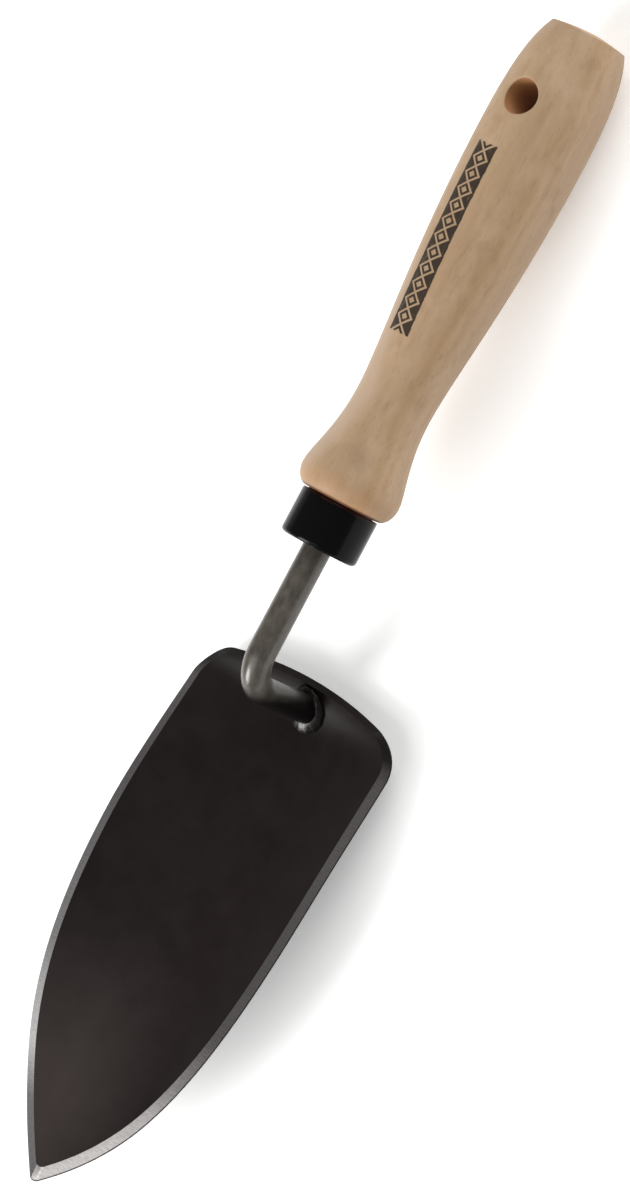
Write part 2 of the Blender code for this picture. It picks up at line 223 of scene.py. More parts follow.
lacquer_color = add_node(
    blade_lacquer,
    "Mix",
    {"data_type": "RGBA"},
    {"Factor": tone, MIX_A: linear("#15100f"), MIX_B: linear("#3a3332")},
)
lacquer_gloss = add_node(
    blade_lacquer,
    "MapRange",
    None,
    {"Value": mottle, "From Min": 0.3, "From Max": 0.7, "To Min": 0.42, "To Max": 0.52},
)
lacquer_bump = add_node(
    blade_lacquer, "Bump", None, {"Height": speckle, "Strength": 0.25, "Distance": 0.05 * MM}
)
shader.inputs["Specular IOR Level"].default_value = 0.1
links = blade_lacquer.node_tree.links
links.new(lacquer_color.outputs[MIX_RESULT], shader.inputs["Base Color"])
links.new(lacquer_gloss.outputs["Result"], shader.inputs["Roughness"])
links.new(lacquer_bump.outputs["Normal"], shader.inputs["Normal"])
print("made", blade_lacquer.name)

# %% Belt-ground steel, bare at the tip and dull further back, with painted highlights
ground_steel, shader, place_mm = new_material("belt_ground_steel")
SCRATCH_MM = 0.5
BAND_FROM_Y = -48.0  # the band's colours start 8 mm in front of the rear edge and end 5 mm past the tip
BAND_TO_Y = -198.0
stretched = add_node(ground_steel, "Mapping", None, {"Vector": place_mm, "Scale": (0.35, 1.6, 0.35)})
scratches = add_node(
    ground_steel,
    "TexNoise",
    None,
    {"Vector": stretched, "Scale": 1 / SCRATCH_MM, "Detail": 4.0, "Roughness": 0.65},
)
axes_mm = add_node(ground_steel, "SeparateXYZ", None, {"Vector": place_mm})
along_band = add_node(
    ground_steel,
    "MapRange",
    None,
    {"Value": axes_mm.outputs["Y"], "From Min": BAND_FROM_Y, "From Max": BAND_TO_Y},
)


def band_wear_and_highlights(stops):
    """The band's colour from its rear end to the tip, with its painted highlights, from a few (place, colour)
    pairs.
    """
    ramp_node = add_node(ground_steel, "ValToRGB", None, {"Fac": along_band})
    ramp = ramp_node.color_ramp
    for element, (place, tint) in zip((ramp.elements[0], ramp.elements[1]), (stops[0], stops[-1])):
        element.position, element.color = place, linear(tint)
    for place, tint in stops[1:-1]:
        ramp.elements.new(place).color = linear(tint)
    return ramp_node


# painted highlights: the right band lightens towards the tip, the left one has a bright stretch before it
right_band_wear_and_highlights = band_wear_and_highlights(
    [
        (0.0, "#1c1817"),
        (0.04, "#595655"),
        (0.2, "#646160"),
        (0.42, "#5b5857"),
        (0.58, "#53504f"),
        (0.7, "#767372"),
        (0.8, "#989593"),
        (1.0, "#d0cdcb"),
    ]
)
left_band_wear_and_highlights = band_wear_and_highlights(
    [
        (0.0, "#2a2625"),
        (0.04, "#6f6b6b"),
        (0.22, "#6c6868"),
        (0.58, "#979595"),
        (0.65, "#bcbab9"),
        (0.75, "#cdcbca"),
        (0.84, "#7d7b7b"),
        (1.0, "#6b6969"),
    ]
)
on_right = add_node(ground_steel, "Math", {"operation": "GREATER_THAN"}, {0: axes_mm.outputs["X"], 1: -0.8})
sides = add_node(
    ground_steel,
    "Mix",
    {"data_type": "RGBA"},
    {"Factor": on_right, MIX_A: left_band_wear_and_highlights, MIX_B: right_band_wear_and_highlights},
)
scratch_tone = add_node(
    ground_steel,
    "MapRange",
    None,
    {"Value": scratches, "From Min": 0.3, "From Max": 0.7, "To Min": 0.72, "To Max": 1.15},
)
band_color = add_node(
    ground_steel, "VectorMath", {"operation": "SCALE"}, {0: sides, "Scale": scratch_tone}
)
steel_gloss = add_node(
    ground_steel,
    "MapRange",
    None,
    {"Value": scratches, "From Min": 0.3, "From Max": 0.7, "To Min": 0.55, "To Max": 0.42},
)
steel_bump = add_node(
    ground_steel, "Bump", None, {"Height": scratches, "Strength": 0.35, "Distance": 0.06 * MM}
)
shader.inputs["Metallic"].default_value = 0.8
links = ground_steel.node_tree.links
links.new(band_color.outputs["Vector"], shader.inputs["Base Color"])
links.new(steel_gloss.outputs["Result"], shader.inputs["Roughness"])
links.new(steel_bump.outputs["Normal"], shader.inputs["Normal"])
print("made", ground_steel.name)

# %% [markdown]
# ## Turning a shape into a piece
#
# Every shape below is drawn in the tool's frame. This helper closes its seams, points its faces outwards,
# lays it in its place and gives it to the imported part's only body. The object itself stays at the origin,
# unturned.

# %% A helper that finishes a piece
def finish_piece(name, shape, materials, node, sharp_angle=40):
    """Makes an object of a bmesh that was drawn in the tool's frame."""
    bmesh.ops.remove_doubles(shape, verts=shape.verts, dist=0.002 * MM)
    bmesh.ops.dissolve_degenerate(shape, edges=shape.edges, dist=0.001 * MM)
    bmesh.ops.recalc_face_normals(shape, faces=shape.faces)
    bmesh.ops.transform(shape, matrix=tool_place, verts=shape.verts)
    open_edges = sum(not edge.is_manifold for edge in shape.edges)
    mesh = bpy.data.meshes.new(name)
    shape.to_mesh(mesh)
    shape.free()
    mesh.shade_smooth()
    mesh.set_sharp_from_angle(angle=math.radians(sharp_angle))
    for material in materials:
        mesh.materials.append(material)
    piece = bpy.data.objects.new(name, mesh)
    bpy.context.scene.collection.objects.link(piece)
    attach(piece, "root")
    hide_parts(node)
    print(name, len(mesh.polygons), "faces,", open_edges, "open edges")
    return piece


# %% [markdown]
# ## The blade
#
# A press turns a flat blank into the blade: a trough along its length, a rear wall curled up level with the
# sides, and a tip that rises a little. The same order works here. The blank is a grid whose X runs across
# and whose Y runs from the rear edge to the tip, each from 0 to 1. Extruding it twice gives the outside,
# the thin land that grinding leaves at the edge, and the inside. Then one function presses every vertex to
# its real place.

# %% The blade's sizes
SHEET = 2.0 * MM
BLADE_LENGTH = 153.8 * MM
BLADE_WIDTH = 71.29 * MM
WIDEST_FROM_REAR = 42 * MM
REAR_NARROWING = 0.6 * MM
FRONT_EARLY_SHARE = 0.44
FRONT_LATE_POWER = 4.3
CORNER_RADIUS = 9.2 * MM
REAR_EDGE_RADIUS = 112 * MM
TIP_RADIUS = 2.3 * MM
SECTION_RADIUS = 63.5 * MM
REAR_SECTION_RADIUS = 85 * MM
SECTION_BLEND = 55 * MM
HEEL_RADIUS = 16.5 * MM
HEEL_RISE = 9.5 * MM
TIP_CURL_LENGTH = 30 * MM
TIP_LIFT = 3.7 * MM
LAND = 0.35 * MM
GRIND_SIDE = 2.7 * MM
GRIND_TIP = 4.2 * MM
BLADE_PITCH = math.radians(4.6)
HEEL_DROP = 38.78 * MM
NECK_LENGTH = 40.3 * MM
FOOT_SETBACK = 7.4 * MM
DROP_Y = -FERRULE_LENGTH / 2 - NECK_LENGTH
HEEL_REACH = math.sqrt(HEEL_RADIUS**2 - (HEEL_RADIUS - HEEL_RISE) ** 2)
blade_shift = Matrix.Translation((0, DROP_Y + FOOT_SETBACK, -HEEL_DROP))
blade_place = blade_shift @ Matrix.Rotation(-BLADE_PITCH, 4, "X")
print("rod drops", round(-DROP_Y / MM, 1), "mm in front of the ferrule's middle")


# %% The section and the outline
def sheet_height(x, from_rear, depth):
    """Height of the pressed sheet, at a depth into it from its outside."""
    rear_share = max(0.0, 1 - from_rear / SECTION_BLEND) ** 2
    section = SECTION_RADIUS + (REAR_SECTION_RADIUS - SECTION_RADIUS) * rear_share
    trough = section - depth - math.sqrt((section - depth) ** 2 - x**2)
    reach = max(0.0, HEEL_REACH - from_rear)
    curl = HEEL_RADIUS - depth - math.sqrt(max(0.0, (HEEL_RADIUS - depth) ** 2 - reach**2))
    past = max(0.0, 1 - (BLADE_LENGTH - from_rear) / TIP_CURL_LENGTH)
    return depth + math.hypot(trough, curl) + TIP_LIFT * past**2


def blade_point(x, from_rear, depth):
    """A point of the sheet. Lines across it are bowed like the rear edge, and less so towards the tip."""
    bow = x**2 / (2 * REAR_EDGE_RADIUS) * (1 - from_rear / BLADE_LENGTH)
    return Vector((x, -(from_rear + bow), sheet_height(x, from_rear, depth)))


def half_width(from_rear, rear, side_inset, tip_inset):
    """Half the blank's width, taken in from the sides, from the tip and from the rear."""
    widest = BLADE_WIDTH / 2 - side_inset
    tip = BLADE_LENGTH - tip_inset
    if from_rear >= tip:
        return 0.0
    if from_rear < WIDEST_FROM_REAR:
        side = widest - REAR_NARROWING * (1 - from_rear / WIDEST_FROM_REAR) ** 2
        corner = CORNER_RADIUS - side_inset / 2
        left_of_corner = max(0.0, corner - (from_rear - rear))
        return side - corner + math.sqrt(corner**2 - left_of_corner**2)
    late_share = 1 - FRONT_EARLY_SHARE
    steepness = widest * (2 * FRONT_EARLY_SHARE + FRONT_LATE_POWER * late_share)
    slope = math.atan2(steepness, tip - WIDEST_FROM_REAR)
    point = tip + TIP_RADIUS * (1 / math.sin(slope) - 1)
    if point - from_rear < TIP_RADIUS * (1 / math.sin(slope) - math.sin(slope)):
        return math.sqrt(max(0.0, TIP_RADIUS**2 - (from_rear - (tip - TIP_RADIUS)) ** 2))
    share = (from_rear - WIDEST_FROM_REAR) / (point - WIDEST_FROM_REAR)
    return widest * (1 - FRONT_EARLY_SHARE * share**2 - late_share * share**FRONT_LATE_POWER)


# %% Press the blank
ACROSS_STEPS = 80
ALONG_STEPS = 170
OUTSIDE, LAND_LAYER, INSIDE = 0, 1, 2
square_rim = HEEL_REACH * SHEET / HEEL_RADIUS
lean = BLADE_WIDTH / 2 / SECTION_RADIUS
LAYERS = {
    OUTSIDE: (0, 0, 0, 0),
    LAND_LAYER: (LAND, square_rim * LAND / SHEET, LAND * lean, LAND),
    INSIDE: (SHEET, square_rim, GRIND_SIDE, GRIND_TIP),
}


def pressed(blank_point):
    """Where a point of the flat blank ends up."""
    depth, rear, side_inset, tip_inset = LAYERS[round(blank_point.z)]
    share = (1 - math.cos(math.pi * (blank_point.y + 0.5))) / 2
    from_rear = rear + (BLADE_LENGTH - tip_inset - rear) * share
    x = 2 * blank_point.x * half_width(from_rear, rear, side_inset, tip_inset)
    return blade_point(x, from_rear, depth)


shape = bmesh.new()
bmesh.ops.create_grid(shape, x_segments=ACROSS_STEPS, y_segments=ALONG_STEPS, size=0.5)
layer = shape.faces[:]
for _ in (LAND_LAYER, INSIDE):
    raised = bmesh.ops.extrude_face_region(shape, geom=layer)["geom"]
    bmesh.ops.translate(shape, vec=(0, 0, 1), verts=[g for g in raised if isinstance(g, bmesh.types.BMVert)])
    layer = [g for g in raised if isinstance(g, bmesh.types.BMFace)]

for face in shape.faces:
    levels = sorted({round(vertex.co.z) for vertex in face.verts})
    at_rear = all(vertex.co.y < -0.499 for vertex in face.verts)
    face.material_index = 1 if levels == [LAND_LAYER, INSIDE] and not at_rear else 0
for vertex in shape.verts:
    vertex.co = blade_place @ pressed(vertex.co)
finish_piece("dished_blade", shape, (blade_lacquer, ground_steel), "blade", 25)

# %% [markdown]
# ## The rod
#
# The shank is one length of 8 mm round bar. It was rolled hot, so it has a thin, blotchy, grey-brown scale
# under clear lacquer. Painted shade darkens its lower part, and its foot to near black, sooner on the side
# that faces the tip. It is drawn the way that it is made: a disc is pulled out into a straight tang and neck,
# spun round the bend and pulled down to the blade.

# %% Rolled bar under clear lacquer
rolled_bar, shader, place_mm = new_material("hot_rolled_bar_under_lacquer")
SCALE_MM = 2.2
FOOT_SHADE_SLANT = 4.0  # how much sooner the painted shade starts for each millimetre towards the tip
FOOT_SHADE_FROM = -6.0
FOOT_SHADE_TO = -20.0
LOW_SHADE_FROM_Z = -2.0
LOW_SHADE_TO_Z = -13.0
stretched = add_node(rolled_bar, "Mapping", None, {"Vector": place_mm, "Scale": (1.0, 0.5, 0.6)})
blotches = add_node(
    rolled_bar,
    "TexNoise",
    None,
    {"Vector": stretched, "Scale": 1 / SCALE_MM, "Detail": 5.0, "Roughness": 0.62},
)
bar_tone = add_node(
    rolled_bar, "MapRange", None, {"Value": blotches, "From Min": 0.25, "From Max": 0.73}
)
bar_color = add_node(
    rolled_bar,
    "Mix",
    {"data_type": "RGBA"},
    {"Factor": bar_tone, MIX_A: linear("#3b3533"), MIX_B: linear("#5f5a50")},
)
axes_mm = add_node(rolled_bar, "SeparateXYZ", None, {"Vector": place_mm})
# painted shade: the bar darkens lower down, towards the blade
low_shade = add_node(
    rolled_bar,
    "MapRange",
    {"interpolation_type": "SMOOTHSTEP"},
    {"Value": axes_mm.outputs["Z"], "From Min": LOW_SHADE_FROM_Z, "From Max": LOW_SHADE_TO_Z, "To Max": 0.6},
)
low_shaded = add_node(
    rolled_bar,
    "Mix",
    {"data_type": "RGBA"},
    {"Factor": low_shade, MIX_A: bar_color, MIX_B: linear("#1b1817")},
)
from_drop = add_node(rolled_bar, "Math", {"operation": "SUBTRACT"}, {0: axes_mm.outputs["Y"], 1: DROP_Y / MM})
# painted shade: the foot turns near black, sooner on the side that faces the tip
foot_shade_place = add_node(
    rolled_bar,
    "Math",
    {"operation": "MULTIPLY_ADD"},
    {0: from_drop, 1: FOOT_SHADE_SLANT, 2: axes_mm.outputs["Z"]},
)
black = add_node(
    rolled_bar,
    "MapRange",
    {"interpolation_type": "SMOOTHSTEP"},
    {"Value": foot_shade_place, "From Min": FOOT_SHADE_FROM, "From Max": FOOT_SHADE_TO, "To Max": 0.94},
)
shaded_bar = add_node(
    rolled_bar,
    "Mix",
    {"data_type": "RGBA"},
    {"Factor": black, MIX_A: low_shaded, MIX_B: linear("#0a0808")},
)
bar_gloss = add_node(
    rolled_bar,
    "MapRange",
    None,
    {"Value": blotches, "From Min": 0.3, "From Max": 0.7, "To Min": 0.3, "To Max": 0.42},
)
bar_bump = add_node(
    rolled_bar, "Bump", None, {"Height": blotches, "Strength": 0.12, "Distance": 0.08 * MM}
)
shader.inputs["Metallic"].default_value = 0.12
shader.inputs["Specular IOR Level"].default_value = 0.35
shader.inputs["Coat Weight"].default_value = 0.4
shader.inputs["Coat Roughness"].default_value = 0.22
links = rolled_bar.node_tree.links
links.new(shaded_bar.outputs[MIX_RESULT], shader.inputs["Base Color"])
links.new(bar_gloss.outputs["Result"], shader.inputs["Roughness"])
links.new(bar_bump.outputs["Normal"], shader.inputs["Normal"])
print("made", rolled_bar.name)

# %% How high the blade's inside is under a point
ROD_RADIUS = 4.0 * MM
BEND_RADIUS = 10 * MM
TENON_END = SHOULDER - 11.2 * MM
TANG_END = TENON_END + 62 * MM
TANG_POINT_LENGTH = 10 * MM
TANG_POINT_RADIUS = 2.25 * MM
ROUND_STEPS = 64


def blade_inside(x, y):
    """Height, in the tool's frame, of the blade's inside near the rod's foot."""
    from_rear = FOOT_SETBACK
    for _ in range(20):
        point = blade_place @ blade_point(x, from_rear, SHEET)
        from_rear += point.y - y
    return point.z


# %% Pull, spin and pull again
def pull(shape, edges, move, scale=1.0):
    """Extrudes a ring of edges, scales it about its own middle and moves it. Returns the new ring's edges."""
    made = bmesh.ops.extrude_edge_only(shape, edges=edges)["geom"]
    ring = [g for g in made if isinstance(g, bmesh.types.BMVert)]
    center = sum((v.co for v in ring), Vector()) / len(ring)
    bmesh.ops.scale(shape, vec=(scale,) * 3, space=Matrix.Translation(-center), verts=ring)
    bmesh.ops.translate(shape, vec=move, verts=ring)
    kept = set(ring)
    return [g for g in made if isinstance(g, bmesh.types.BMEdge) and kept.issuperset(g.verts)]


shape = bmesh.new()
standing = Matrix.Translation((0, TANG_END, 0)) @ Matrix.Rotation(math.pi / 2, 4, "X")
bmesh.ops.create_circle(shape, cap_ends=True, radius=TANG_POINT_RADIUS, segments=ROUND_STEPS, matrix=standing)
ring = pull(shape, shape.edges[:], (0, -TANG_POINT_LENGTH, 0), ROD_RADIUS / TANG_POINT_RADIUS)
bend_start = DROP_Y + BEND_RADIUS
ring = pull(shape, ring, (0, bend_start - (TANG_END - TANG_POINT_LENGTH), 0))
bent = bmesh.ops.spin(
    shape, geom=ring, cent=(0, bend_start, -BEND_RADIUS), axis=(1, 0, 0), angle=math.pi / 2, steps=24
)["geom_last"]
ring = [g for g in bent if isinstance(g, bmesh.types.BMEdge)]
ring = pull(shape, ring, (0, 0, -HEEL_DROP / 2))
for vertex in {v for edge in ring for v in edge.verts}:
    vertex.co.z = blade_inside(vertex.co.x, vertex.co.y) - FIT_GAP
bmesh.ops.holes_fill(shape, edges=ring)
finish_piece("bent_rod", shape, (rolled_bar,), "shank")

# %% [markdown]
# ## The weld
#
# The rod's foot is welded to the blade all round. A weld bead is laid in small overlapping steps, so its
# surface is a row of ripples. Its section is a rounded fillet: it is drawn once, spun round the rod,
# rippled, and let down on to the blade.

# %% Lay the bead
weld_steel, shader, place_mm = new_material("weld_steel_under_lacquer")
SPATTER_MM = 0.8
spatter = add_node(weld_steel, "TexNoise", None, {"Vector": place_mm, "Scale": 1 / SPATTER_MM, "Detail": 3.0})
weld_color = add_node(
    weld_steel,
    "Mix",
    {"data_type": "RGBA"},
    {"Factor": spatter, MIX_A: linear("#0b0a0a"), MIX_B: linear("#262321")},
)
weld_bump = add_node(weld_steel, "Bump", None, {"Height": spatter, "Strength": 0.5, "Distance": 0.15 * MM})
shader.inputs["Metallic"].default_value = 0.15
shader.inputs["Specular IOR Level"].default_value = 0.35
shader.inputs["Roughness"].default_value = 0.28
links = weld_steel.node_tree.links
links.new(weld_color.outputs[MIX_RESULT], shader.inputs["Base Color"])
links.new(weld_bump.outputs["Normal"], shader.inputs["Normal"])
WELD_LEG_OUT = 1.9 * MM
WELD_LEG_UP = 2.4 * MM
WELD_STEPS = 96
WELD_RIPPLES = 15
WELD_RIPPLE_DEPTH = 0.05
WELD_FULLER_AT_TIP_SIDE = 0.09

shape = bmesh.new()
fillet = [(0.0, -0.25), (1.0, -0.25), (1.0, 0.05), (0.93, 0.28)]
fillet += [(0.74, 0.52), (0.5, 0.72), (0.25, 0.9), (0.0, 1.0)]
inner = ROD_RADIUS - FIT_GAP
ring = []
for out, up in fillet:
    ring.append(shape.verts.new((inner + (WELD_LEG_OUT + FIT_GAP) * out, DROP_Y, WELD_LEG_UP * up)))
edges = [shape.edges.new((a, b)) for a, b in zip(ring, ring[1:] + ring[:1])]
bmesh.ops.spin(
    shape,
    geom=ring + edges,
    cent=(0, DROP_Y, 0),
    axis=(0, 0, 1),
    angle=2 * math.pi,
    steps=WELD_STEPS,
    use_merge=True,
)
for vertex in shape.verts:
    x, y = vertex.co.x, vertex.co.y - DROP_Y
    angle = math.atan2(y, x)
    out = (math.hypot(x, y) - ROD_RADIUS) / WELD_LEG_OUT
    step = (angle / (2 * math.pi) * WELD_RIPPLES) % 1
    fuller = WELD_FULLER_AT_TIP_SIDE * max(0.0, -math.sin(angle))
    swell = 1 + (fuller - WELD_RIPPLE_DEPTH * step**2) * max(0.0, out)
    vertex.co.x = x * swell
    vertex.co.y = DROP_Y + y * swell
    vertex.co.z = vertex.co.z * swell + blade_inside(vertex.co.x, vertex.co.y)
finish_piece("fillet_weld", shape, (weld_steel,), "weld_bead", 60)

# %% [markdown]
# ## The ferrule
#
# The ferrule is a cup drawn from steel sheet, with a hole for the rod in its floor, pressed over the
# handle's tenon and finished in black gloss enamel. Enamel lies in very gentle waves, which bend the long
# reflections on it. Glue was pressed out of the joint when the ferrule went on. The red-brown on the
# enamel's rear edge is that glue together with a painted reflection of the wood.

# %% Black gloss enamel
black_enamel, shader, place_mm = new_material("black_gloss_enamel")
WAVE_MM = 3.0
GLUE_AND_REFLECTION_REACH_MM = 1.6
waves = add_node(black_enamel, "TexNoise", None, {"Vector": place_mm, "Scale": 1 / WAVE_MM, "Detail": 2.0})
enamel_bump = add_node(
    black_enamel, "Bump", None, {"Height": waves, "Strength": 0.35, "Distance": 0.05 * MM}
)
runs = add_node(black_enamel, "TexNoise", None, {"Vector": place_mm, "Scale": 0.35, "Detail": 3.0})
axes_mm = add_node(black_enamel, "SeparateXYZ", None, {"Vector": place_mm})
rear_edge = FERRULE_LENGTH / 2 / MM
# glue and a painted reflection of the wood turn the enamel red-brown at its rear edge
from_edge = add_node(
    black_enamel,
    "MapRange",
    None,
    {
        "Value": axes_mm.outputs["Y"],
        "From Min": rear_edge - GLUE_AND_REFLECTION_REACH_MM,
        "From Max": rear_edge,
        "To Min": -0.55,
        "To Max": 0.4,
    },
)
glue_and_reflection = add_node(black_enamel, "Math", {"operation": "ADD"}, {0: from_edge, 1: runs})
glue_and_reflection_share = add_node(black_enamel, "MapRange", None, {"Value": glue_and_reflection, "From Min": 0.42, "From Max": 0.6})
enamel_color = add_node(
    black_enamel,
    "Mix",
    {"data_type": "RGBA"},
    {"Factor": glue_and_reflection_share, MIX_A: linear("#0c0c0d"), MIX_B: linear("#2a130b")},
)
shader.inputs["Roughness"].default_value = 0.16
shader.inputs["Specular IOR Level"].default_value = 0.1
links = black_enamel.node_tree.links
links.new(enamel_color.outputs[MIX_RESULT], shader.inputs["Base Color"])
links.new(enamel_bump.outputs["Normal"], shader.inputs["Normal"])
print("made", black_enamel.name)

# %% Spin the cup
FERRULE_RADIUS = 11.0 * MM
FERRULE_WALL = 1.2 * MM
FRONT_ROUNDING = 1.3 * MM
REAR_ROUNDING = 0.35 * MM
BORE_RADIUS = ROD_RADIUS + FIT_GAP
FERRULE_STEPS = 128


def arc(center, radius, start, end, steps):
    """Points of a circle's arc, its angles in degrees."""
    angles = np.radians(np.linspace(start, end, steps + 1))
    return [(center[0] + radius * math.cos(a), center[1] + radius * math.sin(a)) for a in angles]


def spun(profile, steps):
    """A bmesh of a profile of (radius, place along the axis) points, spun once round the tool's axis."""
    shape = bmesh.new()
    line = [shape.verts.new((0, y, -radius)) for radius, y in profile]
    edges = [shape.edges.new(pair) for pair in zip(line, line[1:])]
    full_turn = {"cent": (0, 0, 0), "axis": (0, 1, 0), "angle": 2 * math.pi}
    full_turn.update(steps=steps, use_merge=True)
    bmesh.ops.spin(shape, geom=line + edges, **full_turn)
    bmesh.ops.remove_doubles(shape, verts=shape.verts, dist=0.002 * MM)
    return shape


front, rear = -FERRULE_LENGTH / 2, FERRULE_LENGTH / 2
inner_radius = FERRULE_RADIUS - FERRULE_WALL
cup = [(inner_radius, front + FERRULE_WALL), (inner_radius, rear)]
cup += arc((FERRULE_RADIUS - REAR_ROUNDING, rear - REAR_ROUNDING), REAR_ROUNDING, 90, 0, 4)
cup += arc((FERRULE_RADIUS - FRONT_ROUNDING, front + FRONT_ROUNDING), FRONT_ROUNDING, 0, -90, 8)
cup += [(BORE_RADIUS, front), (BORE_RADIUS, front + FERRULE_WALL), (inner_radius, front + FERRULE_WALL)]
ferrule_shape = spun(cup, FERRULE_STEPS)
finish_piece("enamelled_ferrule", ferrule_shape, (black_enamel,), "ferrule", 50)

# %% [markdown]
# ## The ash handle
#
# The handle is turned from ash, a pale wood with open pores. Its growth rings are wide and lie nearly flat
# across the blank, tipped by about 33 degrees, so on the turned surface they show as long, soft streaks:
# one clear dark one, and fainter ones beside it. The wood is sanded and has a thin satin lacquer, which
# makes it blotchy.

# %% Growth rings, fibres and pores
ash, shader, place_mm = new_material("lacquered_ash")
RING_TIP = math.radians(-33)
BLANK_HALF_MM = 16.0
WANDER_MM = 26.0
WANDER = 3.0
WOBBLE_MM = 3.6
WOBBLE = 1.6
PORE_MM = 0.42
FIBRE_MM = 0.9
CLOUD_MM = 9.0
BLOTCH_MM = 4.0


def grain_noise(width_mm, along_share, detail, roughness=0.5):
    """A pattern that is drawn out along the grain."""
    drawn_out = add_node(ash, "Mapping", None, {"Vector": place_mm, "Scale": (1.0, along_share, 1.0)})
    sockets = {"Vector": drawn_out, "Scale": 1 / width_mm, "Detail": detail, "Roughness": roughness}
    return add_node(ash, "TexNoise", None, sockets)


wander = grain_noise(WANDER_MM, 0.5, 1.0)
wobble = grain_noise(WOBBLE_MM, 0.25, 4.0, 0.6)
fibre = grain_noise(FIBRE_MM, 0.06, 4.0, 0.6)
pore = grain_noise(PORE_MM, 0.10, 1.0)
cloud = grain_noise(CLOUD_MM, 0.6, 4.0, 0.6)
blotch = grain_noise(BLOTCH_MM, 0.5, 3.0, 0.6)
to_ring = (-math.sin(RING_TIP), 0.0, -math.cos(RING_TIP))
across_rings = add_node(ash, "VectorMath", {"operation": "DOT_PRODUCT"}, {0: place_mm, 1: to_ring})
MULTIPLY_ADD = {"operation": "MULTIPLY_ADD"}
ring_place = add_node(ash, "Math", MULTIPLY_ADD, {0: wander, 1: WANDER, 2: across_rings})
ring_place = add_node(ash, "Math", MULTIPLY_ADD, {0: wobble, 1: WOBBLE, 2: ring_place})
ring_middle = (WANDER + WOBBLE) / 2  # both patterns run from 0 to 1, so they shift the rings by this much
ring_share = add_node(
    ash,
    "MapRange",
    None,
    {"Value": ring_place, "From Min": ring_middle - BLANK_HALF_MM, "From Max": ring_middle + BLANK_HALF_MM},
)
print("pores", PORE_MM, "mm wide, fibres", FIBRE_MM, "mm")

# %% Colours of the wood
RING_STREAKS = (  # millimetres across the rings from the axis, and the wood's colour there
    (-12.0, "#a98e70"),
    (-9.0, "#a88b6c"),
    (-7.5, "#a5896a"),
    (-6.0, "#ad9173"),
    (-3.8, "#ae9273"),
    (-2.4, "#ad8f6e"),
    (-1.3, "#aa8b69"),
    (-0.2, "#ad8f6d"),
    (1.2, "#b69878"),
    (2.6, "#b19273"),
    (4.2, "#b69a7b"),
    (7.0, "#b09478"),
)
ring_color = add_node(ash, "ValToRGB", None, {"Fac": ring_share})
ramp = ring_color.color_ramp
ramp.elements[0].color, ramp.elements[1].color = linear("#ae9273"), linear("#ae9273")
for place, tint in RING_STREAKS:
    ramp.elements.new((place + BLANK_HALF_MM) / (2 * BLANK_HALF_MM)).color = linear(tint)
SMOOTHLY = {"interpolation_type": "SMOOTHSTEP"}


def tinted(wood, pattern, low, high, most, hex_color):
    """The wood turned to another colour, up to a share, as a pattern goes from one value to another."""
    limits = {"Value": pattern, "From Min": low, "From Max": high, "To Max": most}
    share = add_node(ash, "MapRange", SMOOTHLY, limits)
    colours = {"Factor": share, MIX_A: wood, MIX_B: linear(hex_color)}
    return add_node(ash, "Mix", {"data_type": "RGBA"}, colours)


wood = tinted(ring_color, fibre, 0.35, 0.75, 0.16, "#866a4c")
wood = tinted(wood, cloud, 0.45, 0.75, 0.6, "#ba9f82")
wood = tinted(wood, blotch, 0.5, 0.72, 0.3, "#8f7152")
wood = tinted(wood, pore, 0.62, 0.74, 0.25, "#75593c")
grain_bump = add_node(ash, "Bump", None, {"Height": fibre, "Strength": 0.12, "Distance": 0.05 * MM})
shader.inputs["Roughness"].default_value = 0.55
shader.inputs["Specular IOR Level"].default_value = 0.3
ash.node_tree.links.new(grain_bump.outputs["Normal"], shader.inputs["Normal"])
print("wood of", len(RING_STREAKS), "ring colours under fibres, clouds, blotches and pores")

# %% [markdown]
# ### What the blank and the workshop left, and painted light
#
# A painted sheen makes the wood paler and greyer on the left of the waist. A small knot sits low on the
# right, and a brown patch on the flare. The wall of the hanging hole is bare wood, without lacquer, and
# warmer. Where the wood meets the ferrule a line of red-brown glue and painted contact shade shows, and the
# flare beside it has taken up some of its warmth.

# %% Painted sheen, knot, patch, bore, and glue line with painted shade
WOOD_SHEEN_FROM_X, WOOD_SHEEN_TO_X = 4.5, -1.5
WAIST_Y = 36.0
WOOD_SHEEN_NARROWING = 0.25  # how much further left the painted sheen starts for each millimetre from the waist
KNOT_CENTER = (11.6, 69.0, -2.1)
KNOT_RADIUS = 1.3
PATCH_CENTER = (5.7, 19.8, 12.3)
PATCH_RADIUS = 5.0
HOLE_Y = BUTT - 23.6 * MM
HOLE_TURN = math.radians(-5)
BORE_REACH = 5.1  # just outside the hole, in millimetres
GLUE_AND_SHADE_LINE_MM = 0.55
WARMED_TO_MM = 9.0  # how far from the ferrule the wood has taken up the warmth of the glue


def distance_to(center, squeeze=1.0):
    """Distance from a point in millimetres, which the wobble of the grain makes uneven."""
    drawn = add_node(ash, "Mapping", None, {"Vector": place_mm, "Scale": (1.0, squeeze, 1.0)})
    spot = (center[0], center[1] * squeeze, center[2])
    distance = add_node(ash, "VectorMath", {"operation": "DISTANCE"}, {0: drawn, 1: spot})
    return add_node(ash, "Math", MULTIPLY_ADD, {0: wobble, 1: WOBBLE, 2: distance})


axes_mm = add_node(ash, "SeparateXYZ", None, {"Vector": place_mm}).outputs
past_waist = add_node(ash, "Math", {"operation": "SUBTRACT"}, {0: axes_mm["Y"], 1: WAIST_Y})
from_waist = add_node(ash, "Math", {"operation": "ABSOLUTE"}, {0: past_waist})
